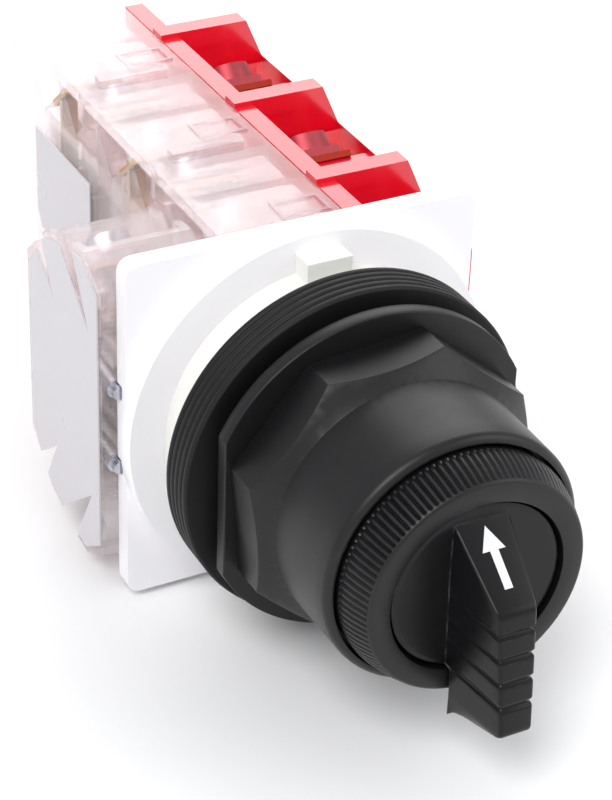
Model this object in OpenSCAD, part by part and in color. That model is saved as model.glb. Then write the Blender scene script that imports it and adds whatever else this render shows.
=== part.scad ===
// Three-position selector switch: a lever operator for a round panel hole,
// with seven stacked contact blocks on the back of its square base.
// Millimetres. +X is right and +Z is up as the user sees the front, and -Y points at the user.
// The origin is on the turning axis, at the front of the gaskets, where the panel's rear face seats.

/* [Base] */
// How far the round boss stands beyond the side of the base plate
boss_step = 0.9; // [0.2:0.1:1.5]
// Thickness of the base plate
plate_t = 1.2; // [1:0.1:2]
// Corner radius of the base plate and its cover
plate_corner_r = 1.6; // [0.8:0.2:3]
// Wall of the round boss around the cam chamber
boss_wall = 3; // [2.4:0.1:4]
// Height of the boss
boss_h = 2.9; // [2.7:0.1:4]
// Front wall of the cam chamber
chamber_wall = 0.8; // [0.6:0.1:1.2]
// Thickness of the rear cover of the chamber
cover_t = 1.4; // [1.2:0.1:2.4]

/* [Seals and panel] */
// Width of the ivory spacer ring, from its bore to its outer edge
spacer_w = 3.8; // [3:0.1:6]
// Thickness of the ivory spacer ring
spacer_t = 5.7; // [3:0.1:7]
// Width of the locating lug on the spacer ring
lug_w = 5.6; // [3:0.2:7]
// How far the lug stands out of the spacer ring
lug_h = 2.3; // [1:0.1:3]
// Thickness of the locating lug
lug_t = 3; // [1.5:0.1:4]
// Number of gaskets in the stack
gasket_n = 5; // [4:1:6]
// Width of a gasket, from its bore to its outer edge
gasket_w = 6.2; // [5:0.1:8]
// Thickness of a gasket
gasket_t = 1; // [0.8:0.1:2]
// Space between the gaskets and the trim washer, where the panel goes
panel_gap = 1.9; // [1:0.1:4]
// Radial clearance of the rings around the threaded barrel
ring_clear = 0.4; // [0.2:0.1:0.8]
// Width of the trim washer, from its bore to its outer edge
washer_w = 5.2; // [3:0.1:6]
// Thickness of the trim washer
washer_t = 1.8; // [0.8:0.1:2.4]
// How far each flat is cut into the edge of the trim washer
washer_flat_cut = 2; // [0.5:0.1:2.5]

/* [Ring nut and bezel] */
// Outer diameter of the threaded barrel
barrel_d = 28.8; // [27:0.2:31]
// Wall of the barrel behind its front web
barrel_wall = 4.4; // [4:0.1:5]
// Wall of the barrel around its front recess
recess_wall = 2.9; // [2.6:0.1:3]
// Wall of the ring nut around the barrel
nut_wall = 1; // [0.8:0.1:2]
// Length of the ring nut
nut_len = 18.2; // [16:0.2:24]
// How far the corners of the octagonal flange stand out of the ring nut
nut_flange_out = 2.8; // [2:0.1:4]
// Depth of the octagonal flange at its corners
nut_flange = 4.4; // [3:0.2:7]
// How much the ring nut narrows towards its front rim, on its radius
nut_taper = 0.1; // [0:0.05:0.5]
// How far the front lip of the ring nut reaches over the end of the barrel
nut_lip = 0.1; // [0:0.05:0.4]
// Gap between the bezel and the lip of the ring nut
bezel_gap = 0.3; // [0.2:0.05:0.5]
// How much the bezel narrows from its rear to its flat face, on its radius
bezel_taper = 1.1; // [0.6:0.1:1.6]
// Width of the flat face of the bezel
bezel_land = 2.6; // [2:0.1:3]
// How far the bezel stands out of the ring nut
bezel_out = 4.9; // [3:0.1:6]
// Number of knurl teeth on the bezel
knurl_n = 60; // [48:4:72]
// Depth of a knurl tooth
knurl_depth = 0.35; // [0.2:0.05:0.5]

/* [Lever and shaft] */
// Gap between the disc and the bezel
disc_gap = 0.3; // [0.2:0.05:0.6]
// How far the front of the disc lies behind the face of the bezel
disc_sink = 0.5; // [0.2:0.1:1.5]
// Width of the lever at the disc
lever_w = 6.6; // [5:0.2:8]
// Width of the lever at its ridge
lever_ridge_w = 5; // [4:0.2:6]
// Width of the lever at its lower tip
lever_tip_w = 4.2; // [3.4:0.2:5]
// Height of the ridge above the disc
lever_ridge_h = 8.2; // [6:0.2:10]
// Height of the ridge above the turning axis
lever_ridge_z = 2; // [0:0.2:4]
// Height of the lower tip in front of the disc
lever_tip_h = 10; // [8:0.2:12]
// How far the lever reaches below the turning axis
lever_reach = 15.6; // [13:0.2:17]
// Edge radius of the lever
lever_edge_r = 0.7; // [0.4:0.1:1]
// Number of grip grooves on the lever
groove_n = 4; // [3:1:5]
// Distance between the grip grooves
groove_pitch = 2.9; // [2.4:0.1:3]
// Diameter of the shaft
shaft_d = 10; // [8:0.2:11]
// Side of the square ends of the shaft
square_w = 5; // [4:0.2:5.4]
// Radial running clearance of the shaft in its bearings
shaft_clear = 0.06; // [0.03:0.01:0.1]
// Turn of the lever to each side, in degrees
turn = 45; // [30:1:50]

/* [Cam and plungers] */
// Half of the plunger stroke
stroke = 0.9; // [0.5:0.1:0.9]
// Thickness of the cam disc under its tracks
cam_disc_t = 0.75; // [0.6:0.05:0.9]
// Rim of the cam outside its outer track
cam_rim = 0.44; // [0.3:0.02:0.8]
// Radial gap between the cam and its chamber
cam_gap = 0.4; // [0.3:0.1:0.8]
// Gap between a plunger tip and its cam track
tip_gap = 0.3; // [0.25:0.05:0.4]
// Diameter of a plunger stem
stem_d = 3.8; // [3:0.2:4]
// Radial clearance of a stem in its hole
stem_clear = 0.25; // [0.15:0.05:0.4]
// Height of the plungers above the turning axis
plunger_z = 5.6; // [5.2:0.1:5.8]

/* [Contact blocks] */
// Gap between two columns of blocks
col_gap = 0.2; // [0.1:0.05:0.4]
// Depth of a block, and distance between two rows
block_d = 21.8; // [21.4:0.2:24]
// Height of the flat-topped blocks above the axis
block_top = 19.5; // [18.6:0.1:22]
// Half-width of the narrow side of a block
narrow_half = 5.4; // [5.2:0.1:6]
// Width of the lane of the block screws, beside the plunger chamber
screw_lane = 2.4; // [2.3:0.1:3]
// Height of the open part of a red block above the axis
red_top = 14.2; // [13.6:0.1:15]
// Wall of a block at its narrow side and its ends
block_wall = 1; // [0.8:0.1:1.4]
// Front and rear wall of the plunger chamber
end_wall = 1.6; // [1.4:0.1:2.4]
// Half-height of the plunger chamber
room_half = 8; // [7.8:0.1:8.4]
// Tilt of the terminals towards the rear, in degrees
terminal_tilt = 40; // [35:1:45]
// Width of a terminal pocket
pocket_w = 7.2; // [7:0.1:7.6]
// Half of the opening angle of the notches in the side walls
notch_half_angle = 11.5; // [8:0.5:13]
// Thickness of the flat lid of a clear block
lid_t = 1.4; // [1:0.1:2]
// Thickness of the transverse wall of a red block
barrier_t = 2.7; // [2:0.1:3.2]

/* [Metal parts] */
// Thickness of the contact bars and terminal strips
strip_t = 0.8; // [0.6:0.1:1]
// Width of a contact bar
bar_w = 3.6; // [3:0.2:5]
// Open gap between a contact bar and its fixed contact at the middle of the stroke
contact_gap = 1; // [1:0.1:1.4]
// Diameter of a terminal screw head
head_d = 6.2; // [5:0.2:6.4]
// Height of a terminal screw head
head_h = 2.2; // [1.6:0.1:2.6]
// Diameter of a terminal screw
terminal_screw_d = 3.2; // [2.6:0.2:3.6]
// Diameter of the screws that hold the blocks
block_screw_d = 2.2; // [2:0.1:2.4]
// Head diameter of those screws
block_head_d = 3.3; // [3:0.1:3.3]
// Diameter of the tapped hole in each head
tap_d = 1.6; // [1.4:0.1:1.7]
// Distance between the two screws of a block
block_screw_pitch = 10; // [8:0.5:12]
// Wire of the springs
wire_d = 0.5; // [0.3:0.05:0.6]

/* [Hidden] */
$fn = 72;
EPS = 0.01;
ROWS = [1, 3, 3];
SIDES = ["left", "middle", "right"];
BLOCKS = [for (c = [0:2]) for (n = [1:ROWS[c]]) str(SIDES[c], "_", n)];

// Rings around the axis, from the barrel outwards and inwards
barrel_bore_d = barrel_d - 2 * barrel_wall;
ring_bore_r = barrel_d / 2 + ring_clear;
gasket_r = ring_bore_r + gasket_w;
spacer_r = ring_bore_r + spacer_w;
washer_r = ring_bore_r + washer_w;
nut_bore_r = barrel_d / 2 + 0.1;
nut_rear_r = barrel_d / 2 + nut_wall;
nut_front_r = nut_rear_r - nut_taper;
nut_corner_r = nut_rear_r + nut_flange_out;
nut_lip_r = barrel_d / 2 - nut_lip;
recess_r = barrel_d / 2 - recess_wall;
bezel_r = nut_lip_r - bezel_gap;
bezel_face_r = bezel_r - bezel_taper;
disc_r = bezel_face_r - bezel_land - disc_gap;

// Places along the turning axis, from the front to the rear
gasket_y = gasket_n * gasket_t;
spacer_y = gasket_y + spacer_t;
plate_y = spacer_y + boss_h;
cover_y = plate_y + plate_t;
blocks_y = cover_y + cover_t;
washer_y = -panel_gap;
nut_y = washer_y - washer_t;
nut_front_y = nut_y - nut_len;
bezel_front_y = nut_front_y - bezel_out;
disc_front_y = bezel_front_y + disc_sink;
disc_t = 3;
lip_t = 2.5;
barrel_front_y = nut_front_y + 1;
recess_t = 2;
web_t = 4.5;
web_y = barrel_front_y + recess_t;
chamber_y = spacer_y + chamber_wall;

// Cam and its chamber
wide_x = narrow_half + screw_lane;
col_pitch = 2 * wide_x + col_gap;
cam_front_y = chamber_y + 0.2;
track_y = cam_front_y + cam_disc_t;
track_cap = stroke + 0.15;
cam_mid_y = track_y + track_cap;
outer_r = norm([col_pitch, plunger_z]);
outer_angle = atan2(plunger_z, col_pitch);
track_half = stem_d / 2 + 0.2;
cam_r = outer_r + track_half + cam_rim;
chamber_d = 2 * (cam_r + cam_gap);
boss_d = chamber_d + 2 * boss_wall;
plate_w = boss_d - 2 * boss_step;
tip_y = cam_mid_y + tip_gap;
stop_r = outer_r + track_half - 0.6;
stop_half_angle = 6;
cam_screw_d = 2.5;

// Detent
wheel_y = web_y + web_t + 4;
wheel_t = 4;
wheel_r = barrel_bore_d / 2 - 2;
ball_r = 1.6;
ball_gap = 0.2;
ball_z = wheel_r + ball_gap + ball_r;
socket_r = ball_r + 0.1;
socket_end = barrel_d / 2 - 1.2;
barrel_seat_r = barrel_bore_d / 2 + 2;

// Screws of the cover
cover_screw_at = plate_w / 2 - 2.6;
cover_screw_r = 0.8;
cover_head_r = 1.6;
cover_screw_bite = 0.8;

// Block
inner_half = narrow_half - block_wall;
terminal_y = [4.4, 14.6];
terminal_z = [12.4, 11.4];
tilt_dir = [sin(terminal_tilt), cos(terminal_tilt)];
plunger_half = 1.8;
plunger_front = 5.2;
plunger_rear = 14;
stem_out = blocks_y - tip_y;
leg_x = [2.2, inner_half - 0.05];
pad_t = 0.5;
bar_front_y = terminal_y[0] + strip_t / 2 + pad_t + contact_gap;
bar_rear_y = terminal_y[1] - strip_t / 2 - pad_t - contact_gap - strip_t;
screw_x = (inner_half + wide_x) / 2;
barrier_y = 10.2;
tap_depth = 4;
drill_r = 0.55;
tip_clear = 0.1;
drill_point = 1;
label_t = 0.2;

// Name of the column (0 left, 1 middle, 2 right) to its place
function col_x(c) = (c - 1) * col_pitch;
function row_y(n) = blocks_y + (n - 1) * block_d;

// Helpers
// A disc on the turning axis, from y0 to y1
module disc(y0, y1, r, r_end = -1) {
    translate([0, y0, 0])
        rotate([-90, 0, 0])
            cylinder(h = y1 - y0, r1 = r, r2 = r_end < 0 ? r : r_end);
}

module ring(y0, y1, r_in, r_out) {
    difference() {
        disc(y0, y1, r_out);
        disc(y0 - 1, y1 + 1, r_in);
    }
}

// A turned ring whose outer edges are chamfered
module soft_ring(y0, y1, r_in, r_out, edge) {
    rotate([-90, 0, 0])
        rotate_extrude()
            polygon([[r_in, y0], [r_out - edge, y0], [r_out, y0 + edge],
                     [r_out, y1 - edge], [r_out - edge, y1], [r_in, y1]]);
}

// A side profile (depth, height) made solid from x0 to x1
module across(x0, x1) {
    translate([x0, 0, 0])
        rotate([90, 0, 90])
            linear_extrude(x1 - x0)
                children();
}

module block_box(x, y, z) {
    translate([x[0], y[0], z[0]])
        cube([x[1] - x[0], y[1] - y[0], z[1] - z[0]]);
}

// A square plate across the axis, from y0 to y1, with arcs at its corners
module square_plate(y0, y1) {
    h = plate_w / 2;
    r = plate_corner_r;
    block_box([-h + r, h - r], [y0, y1], [-h, h]);
    block_box([-h, h], [y0, y1], [-h + r, h - r]);
    for (x = [-1, 1], z = [-1, 1])
        translate([x * (h - r), 0, z * (h - r)])
            disc(y0, y1, r);
}

// A coil spring along Z from 0 to h
function coil_ring(a, r, h, turns, wire, sides) =
    [for (s = [0:sides - 1])
        let (p = 360 * s / sides, d = r + wire / 2 * cos(p))
        [d * cos(a), d * sin(a), wire / 2 + (h - wire) * a / (360 * turns) + wire / 2 * sin(p)]];

module coil(r, h, turns, wire) {
    sides = 5;
    steps = ceil(turns * 12);
    points = [for (k = [0:steps]) each coil_ring(360 * turns * k / steps, r, h, turns, wire, sides)];
    faces = concat(
        [[for (s = [0:sides - 1]) s]],
        [for (k = [0:steps - 1]) for (s = [0:sides - 1])
            let (t = (s + 1) % sides)
            [k * sides + s, (k + 1) * sides + s, (k + 1) * sides + t, k * sides + t]],
        [[for (s = [sides - 1:-1:0]) steps * sides + s]]);
    polyhedron(points, faces, convexity = 10);
}

// Operator
module lever_posts(w, y, z) {
    for (x = [-1, 1])
        translate([x * (w / 2 - lever_edge_r), y, z])
            sphere(lever_edge_r, $fn = 16);
}

module lever_body() {
    ridge_y = disc_front_y - lever_ridge_h + lever_edge_r;
    tip_front_y = disc_front_y - lever_tip_h + lever_edge_r;
    back_y = bezel_front_y - 0.5 - lever_edge_r;
    root = disc_r - 0.7;
    hull() {
        block_box([-lever_w / 2, lever_w / 2], [disc_front_y - 0.1, disc_front_y + 1], [-root, root]);
        lever_posts(lever_ridge_w, ridge_y, lever_ridge_z - lever_edge_r);
        lever_posts(lever_tip_w, tip_front_y + 0.7, -root);
    }
    hull() {
        lever_posts(lever_w, back_y, -1);
        lever_posts(lever_ridge_w, ridge_y, lever_ridge_z - lever_edge_r);
        lever_posts(lever_tip_w, tip_front_y, -lever_reach + 3.2);
        lever_posts(lever_tip_w + 1, back_y, -lever_reach + lever_edge_r);
    }
}

module knob_lever() {
    groove_r = 0.6;
    slope = (lever_tip_h - lever_ridge_h) / (lever_reach - 3.2 + lever_ridge_z);
    color([0.15, 0.145, 0.16])
        difference() {
            union() {
                disc(disc_front_y, disc_front_y + disc_t, disc_r);
                lever_body();
            }
            for (k = [0:groove_n - 1])
                let (down = 2.4 + k * groove_pitch)
                translate([-lever_w, disc_front_y - lever_ridge_h - slope * down - 0.15, lever_ridge_z - down])
                    rotate([0, 90, 0])
                        cylinder(h = 2 * lever_w, r = groove_r, $fn = 24);
            block_box([-square_w / 2, square_w / 2],
                      [disc_front_y + disc_t - 2, disc_front_y + disc_t + 1],
                      [-square_w / 2, square_w / 2]);
        }
}

module shaft() {
    color([0.72, 0.73, 0.75])
        union() {
            disc(disc_front_y + disc_t, cam_front_y, shaft_d / 2);
            block_box([-square_w / 2, square_w / 2],
                      [disc_front_y + disc_t - 2, disc_front_y + disc_t],
                      [-square_w / 2, square_w / 2]);
            difference() {
                block_box([-square_w / 2, square_w / 2],
                          [cam_front_y, track_y], [-square_w / 2, square_w / 2]);
                disc(cam_front_y - 1, track_y + 1, cam_screw_d / 2);
            }
        }
}

// A ring of the cam whose rear face is a tilted plane
module cam_track(r, angle, slope) {
    span = 2 * cam_r;
    difference() {
        ring(track_y - EPS, cam_mid_y + track_cap, r - track_half, r + track_half);
        translate([0, cam_mid_y, 0])
            rotate([0, -angle, 0])
                rotate([slope, 0, 0])
                    translate([-span, 0, -span])
                        cube([2 * span, span, 2 * span]);
    }
}

module cam() {
    rise = stroke / sin(turn);
    color([0.93, 0.92, 0.88])
        difference() {
            union() {
                disc(cam_front_y, track_y, cam_r);
                for (s = [0, 1])
                    mirror([s, 0, 0])
                        intersection() {
                            cam_track(outer_r, outer_angle, -atan(rise / outer_r));
                            block_box([0, cam_r], [cam_front_y, cam_front_y + 9], [-cam_r, cam_r]);
                        }
                cam_track(plunger_z, 90, atan(rise / plunger_z));
            }
            block_box([-square_w / 2, square_w / 2], [cam_front_y - 1, track_y + 1],
                      [-square_w / 2, square_w / 2]);
            // room for the stop in the base
            intersection() {
                ring(cam_front_y - 1, cam_front_y + 9, stop_r - 0.3, cam_r + 2);
                across_axis_wedge(turn + stop_half_angle + 1);
            }
        }
}

// The sector around straight down, out to the chamber wall
module across_axis_wedge(half) {
    far = 3 * cam_r;
    translate([0, far, 0])
        rotate([90, 0, 0])
            linear_extrude(2 * far)
                polygon([[0, 0], [-far * sin(half), -far * cos(half)],
                         [0, -2 * far], [far * sin(half), -far * cos(half)]]);
}

module cam_screw() {
    head_top = track_y + 1.1;
    color([0.7, 0.71, 0.73])
        difference() {
            union() {
                disc(track_y, head_top, 2.2);
                disc(cam_front_y, track_y + EPS, cam_screw_d / 2);
            }
            block_box([-3, 3], [head_top - 0.5, head_top + 1], [-0.3, 0.3]);
        }
}

module detent_wheel() {
    color([0.85, 0.83, 0.74])
        difference() {
            disc(wheel_y, wheel_y + wheel_t, wheel_r);
            disc(wheel_y - 1, wheel_y + wheel_t + 1, shaft_d / 2);
            for (a = [-turn, 0, turn])
                rotate([0, a, 0])
                    translate([0, 0, ball_z])
                        disc(wheel_y - 1, wheel_y + wheel_t + 1, ball_r + 0.5);
        }
}

module detent_ball() {
    color([0.8, 0.8, 0.82])
        translate([0, wheel_y + wheel_t / 2, ball_z])
            sphere(ball_r);
}

module detent_spring() {
    color([0.6, 0.61, 0.63])
        translate([0, wheel_y + wheel_t / 2, ball_z + ball_r * 0.9])
            coil(ball_r * 0.62, socket_end - ball_z - ball_r * 0.9, 3, 0.35);
}

module shaft_seal() {
    color([0.1, 0.1, 0.1])
        soft_ring(web_y - 1.2, web_y, shaft_d / 2 + 0.15, shaft_d / 2 + 2.6, 0.3);
}

module knurl_profile() {
    root = bezel_r - knurl_depth;
    step = 360 / knurl_n;
    polygon([for (k = [0:knurl_n - 1]) each [
        [root * cos(k * step), root * sin(k * step)],
        [bezel_r * cos((k + 0.5) * step), bezel_r * sin((k + 0.5) * step)]]]);
}

module bezel_ring() {
    cone_t = 3.4;
    spigot_t = 0.7;
    color([0.14, 0.135, 0.15])
        difference() {
            union() {
                intersection() {
                    translate([0, barrel_front_y, 0])
                        rotate([90, 0, 0])
                            linear_extrude(barrel_front_y - bezel_front_y)
                                knurl_profile();
                    union() {
                        disc(bezel_front_y, bezel_front_y + cone_t, bezel_face_r, bezel_r);
                        disc(bezel_front_y + cone_t, barrel_front_y, bezel_r);
                    }
                }
                disc(barrel_front_y - EPS, barrel_front_y + spigot_t, recess_r);
            }
            disc(bezel_front_y - 1, web_y + 1, disc_r + disc_gap);
        }
}

module ring_nut() {
    cone_slope = 1.2;
    corner_y = nut_y - nut_flange;
    neck_y = corner_y - nut_flange_out / cone_slope;
    rim = 1;
    color([0.14, 0.135, 0.15])
        difference() {
            union() {
                intersection() {
                    translate([0, nut_y, 0])
                        rotate([90, 17.5, 0])
                            cylinder(h = nut_y - neck_y, r = nut_corner_r, $fn = 8);
                    disc(neck_y, nut_y, nut_rear_r, nut_rear_r + cone_slope * (nut_y - neck_y));
                }
                rotate([-90, 0, 0])
                    rotate_extrude()
                        polygon([[nut_bore_r, nut_y - 1], [nut_rear_r, nut_y - 1],
                                 [nut_rear_r, neck_y],
                                 for (a = [0:22.5:90])
                                     [nut_front_r - rim + rim * cos(a),
                                      nut_front_y + rim - rim * sin(a)],
                                 [nut_lip_r, nut_front_y], [nut_lip_r, nut_front_y + lip_t],
                                 [nut_bore_r, nut_front_y + lip_t]]);
            }
            disc(nut_front_y + lip_t, nut_y + 1, nut_bore_r);
            disc(nut_front_y - 1, nut_front_y + lip_t + 1, nut_lip_r);
        }
}

module trim_washer() {
    color([0.14, 0.135, 0.15])
        intersection() {
            ring(nut_y, washer_y, ring_bore_r, washer_r);
            block_box([washer_flat_cut - washer_r, washer_r - washer_flat_cut], [nut_y - 1, washer_y + 1],
                      [-washer_r, washer_r]);
        }
}

module threaded_barrel() {
    neck_d = barrel_d - 1.2;
    neck_end = nut_front_y + lip_t + 0.5;
    color([0.16, 0.155, 0.17])
        difference() {
            union() {
                disc(neck_end, spacer_y, barrel_d / 2);
                disc(barrel_front_y, neck_end, neck_d / 2);
                disc(spacer_y - EPS, chamber_y, barrel_seat_r);
            }
            disc(barrel_front_y - 1, web_y, recess_r);
            disc(web_y - 1, web_y + web_t + 1, shaft_d / 2 + shaft_clear);
            disc(web_y + web_t, chamber_y + 1, barrel_bore_d / 2);
            // pocket of the detent ball and its spring
            translate([0, wheel_y + wheel_t / 2, barrel_bore_d / 2 - 1])
                cylinder(h = socket_end - barrel_bore_d / 2 + 1, r = socket_r);
        }
}

module rear_bush() {
    color([0.85, 0.83, 0.74])
        ring(spacer_y - 5, chamber_y, shaft_d / 2 + shaft_clear, barrel_bore_d / 2);
}

module spacer_ring() {
    color([0.93, 0.88, 0.74])
        difference() {
            union() {
                disc(gasket_y, spacer_y, spacer_r);
                block_box([-lug_w / 2, lug_w / 2], [spacer_y - lug_t, spacer_y],
                          [spacer_r - 1, spacer_r + lug_h]);
            }
            disc(gasket_y - 1, spacer_y + 1, ring_bore_r);
        }
}

module gasket(n) {
    color([0.12, 0.12, 0.12])
        soft_ring(gasket_y - n * gasket_t, gasket_y - (n - 1) * gasket_t,
                  ring_bore_r, gasket_r, 0.25);
}

module base_plate() {
    color([0.96, 0.96, 0.95])
        difference() {
            union() {
                square_plate(plate_y, cover_y);
                disc(spacer_y, cover_y, boss_d / 2);
            }
            difference() {
                disc(chamber_y, cover_y + 1, chamber_d / 2);
                intersection() {
                    ring(chamber_y - 1, cover_y, stop_r, chamber_d / 2 + 1);
                    across_axis_wedge(stop_half_angle);
                }
            }
            disc(spacer_y - 1, chamber_y + 1, barrel_seat_r);
            for (x = [-1, 1], z = [-1, 1])
                translate([x * cover_screw_at, 0, z * cover_screw_at])
                    disc(cover_y - cover_screw_bite - 0.1, cover_y + 1, cover_screw_r);
            // the boss overhangs the plate, and is cut flush behind it
            difference() {
                disc(plate_y, cover_y + 1, boss_d);
                block_box([-plate_w / 2, plate_w / 2], [plate_y - 1, cover_y + 2], [-plate_w / 2, plate_w / 2]);
            }
        }
}

module rear_cover() {
    color([0.96, 0.96, 0.95])
        difference() {
            square_plate(cover_y, blocks_y);
            for (c = [0:2])
                translate([col_x(c), 0, plunger_z])
                    disc(cover_y - 1, blocks_y + 1, stem_d / 2 + stem_clear);
            for (c = [0:2])
                block_screw_places(c)
                    disc(cover_y - 1, blocks_y + 1, tap_d / 2 + 2 * tip_clear);
            for (x = [-1, 1], z = [-1, 1])
                translate([x * cover_screw_at, 0, z * cover_screw_at]) {
                    disc(cover_y - 1, blocks_y + 1, cover_screw_r + 0.1);
                    disc(blocks_y - 0.8, blocks_y + 1, cover_head_r + 0.1);
                }
        }
}

module cover_screws() {
    color([0.7, 0.71, 0.73])
        for (x = [-1, 1], z = [-1, 1])
            translate([x * cover_screw_at, 0, z * cover_screw_at]) {
                disc(cover_y - cover_screw_bite, blocks_y - 0.75, cover_screw_r);
                disc(blocks_y - 0.8, blocks_y - 0.1, cover_head_r);
            }
}

// Contact blocks, each drawn at its own origin: plunger column at x 0, front face at y 0
// The two screw places of the blocks in column c; the left column is turned over
module block_screw_places(c) {
    side = c == 0 ? -1 : 1;
    for (z = [-1, 1])
        translate([col_x(c) + side * screw_x, 0, z * block_screw_pitch / 2])
            children();
}

module at_block(c, n) {
    translate([col_x(c), row_y(n), 0])
        mirror([c == 0 ? 1 : 0, 0, 0])
            children();
}

// The terminal frame: its z points out of the pocket, along the screw
module at_terminal(i, up) {
    mirror([0, 0, up ? 0 : 1])
        translate([0, terminal_y[i], terminal_z[i]])
            rotate([-terminal_tilt, 0, 0])
                children();
}

// Stepped outline of a shroud above the axis, lower towards the rear
module shroud_outline(inset = 0) {
    difference() {
        polygon([[inset, 0], [inset, 17.5 - inset], [5, 20.3 - inset], [8.5, 19.9 - inset],
                 [16, 17.6 - inset], [block_d - inset, 12.2 - inset], [block_d - inset, 0]]);
        for (i = [0, 1])
            translate([terminal_y[i], terminal_z[i]] - 2 * tilt_dir)
                rotate(-terminal_tilt)
                    notch_outline();
    }
}

module notch_outline() {
    far = 14;
    polygon([[0, 0], [-far * tan(notch_half_angle), far], [far * tan(notch_half_angle), far]]);
}

module flat_outline(top) {
    square([block_d, top]);
}

module pocket(i, up, x0) {
    at_terminal(i, up)
        block_box([x0, wide_x - block_wall], [-pocket_w / 2, pocket_w / 2], [0, 14]);
}

module clear_lid() {
    block_box([-wide_x, wide_x], [0, block_d], [block_top - lid_t, block_top]);
    // skirt at the rear of the overhang, with a round lower corner
    translate([0, block_d - 1.1, 0])
        across_y(1.1)
            difference() {
                translate([-wide_x, block_top - 4.8])
                    square([wide_x - narrow_half + 1, 4.8 - lid_t + EPS]);
                translate([-wide_x, block_top - 4.8])
                    difference() {
                        square(1.4);
                        translate([1.4, 1.4])
                            circle(1.4);
                    }
            }
    // raised bar and frame near the front edge
    block_box([-4.6, 4.6], [0.7, 2.5], [block_top - EPS, block_top + 0.6]);
    difference() {
        block_box([0.6, 6.8], [4, 8], [block_top - EPS, block_top + 0.3]);
        block_box([1.1, 6.3], [4.5, 7.5], [block_top - 1, block_top + 1]);
    }
}

// An outline in x and z, made solid from y 0 to y t
module across_y(t) {
    translate([0, t, 0])
        rotate([90, 0, 0])
            linear_extrude(t)
                children();
}

module red_rails() {
    block_box([-wide_x, -narrow_half + 0.1], [0, block_d], [red_top - 2, block_top]);
    difference() {
        block_box([-wide_x, wide_x], [barrier_y, barrier_y + barrier_t], [red_top - 2, block_top + 0.6]);
        pocket(1, true, -wide_x - 1);
    }
    block_box([wide_x - block_wall, wide_x], [0, barrier_y], [red_top - 2, block_top - 1.5]);
}

// The hip that slopes outwards down the right side of a red block
module hip_cut() {
    across_y(block_d)
        polygon([[wide_x - 3.4, block_top + 2], [wide_x - 3.4, block_top + 0.6], [wide_x, 12.5],
                 [wide_x + 3, 12.5], [wide_x + 3, block_top + 2]]);
}

// One moulded block. top is "stepped", "lid" or "red"
module housing(top) {
    difference() {
        union() {
            difference() {
                union() {
                    across(-narrow_half, wide_x)
                        if (top == "stepped") shroud_outline();
                        else flat_outline(top == "red" ? red_top : block_top);
                    mirror([0, 0, 1])
                        across(-narrow_half, wide_x)
                            shroud_outline();
                }
                for (i = [0, 1]) {
                    pocket(i, true, top == "lid" ? -narrow_half - 1 : -inner_half);
                    pocket(i, false, -inner_half);
                }
            }
            if (top == "lid")
                clear_lid();
            if (top == "red")
                red_rails();
        }
        if (top == "red")
            hip_cut();
        // plunger chamber
        block_box([-inner_half, inner_half], [end_wall, block_d - end_wall], [-room_half, room_half]);
        translate([0, 0, plunger_z])
            disc(-1, block_d + 1, stem_d / 2 + stem_clear);
        // holes of the block screws, their heads sunk in the rear face
        for (z = [-1, 1])
            translate([screw_x, 0, z * block_screw_pitch / 2]) {
                disc(-1, block_d + 1, block_screw_d / 2 + 0.05);
                disc(block_d - 1.5, block_d + 1, block_head_d / 2 + 0.05);
            }
        // terminal screws and strips
        for (i = [0, 1], up = [true, false]) {
            at_terminal(i, up)
                translate([0, 0, -3])
                    cylinder(h = 4, r = terminal_screw_d / 2 + 0.05);
            strip_leg(i, up, 0.02);
        }
    }
}

// The upright leg of a terminal strip, in the chamber and through the wall to its pocket
module strip_leg(i, up, grow = 0) {
    side = (up ? 1 : -1) * (i == 0 ? 1 : -1);
    mirror([side < 0 ? 1 : 0, 0, 0])
        mirror([0, 0, up ? 0 : 1])
            block_box([leg_x[0] - grow, leg_x[1] + grow],
                      [terminal_y[i] - strip_t / 2 - grow, terminal_y[i] + strip_t / 2 + grow],
                      [-bar_w / 2, terminal_z[i] + (grow > 0 ? 0.3 : 0)]);
}

module terminal(i, up) {
    side = (up ? 1 : -1) * (i == 0 ? 1 : -1);
    pad_dir = i == 0 ? 1 : -1;
    difference() {
        union() {
            intersection() {
                strip_leg(i, up);
                mirror([0, 0, up ? 0 : 1])
                    across(-wide_x, wide_x)
                        terminal_side(i);
            }
            mirror([side < 0 ? 1 : 0, 0, 0])
                at_terminal(i, up)
                    block_box([-3.4, leg_x[1]], [-3.2, 3.2], [0, strip_t]);
            // contact rivet
            translate([side * (leg_x[0] + leg_x[1]) / 2, terminal_y[i], 0])
                disc(pad_dir > 0 ? 0 : -strip_t / 2 - pad_t,
                     pad_dir > 0 ? strip_t / 2 + pad_t : 0, 0.9);
        }
        at_terminal(i, up)
            translate([0, 0, -3])
                cylinder(h = 6, r = terminal_screw_d / 2 + 0.05);
    }
}

// What lies on the inner side of a tilted seat, so that a leg ends in its plate
module terminal_side(i) {
    translate([terminal_y[i], terminal_z[i]])
        rotate(-terminal_tilt)
            translate([-20, -40])
                square([40, 40 + strip_t / 2]);
}

module terminals(c) {
    color([0.78, 0.62, 0.33])
        for (n = [1:ROWS[c]], i = [0, 1], up = [true, false])
            at_block(c, n)
                terminal(i, up);
}

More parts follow.
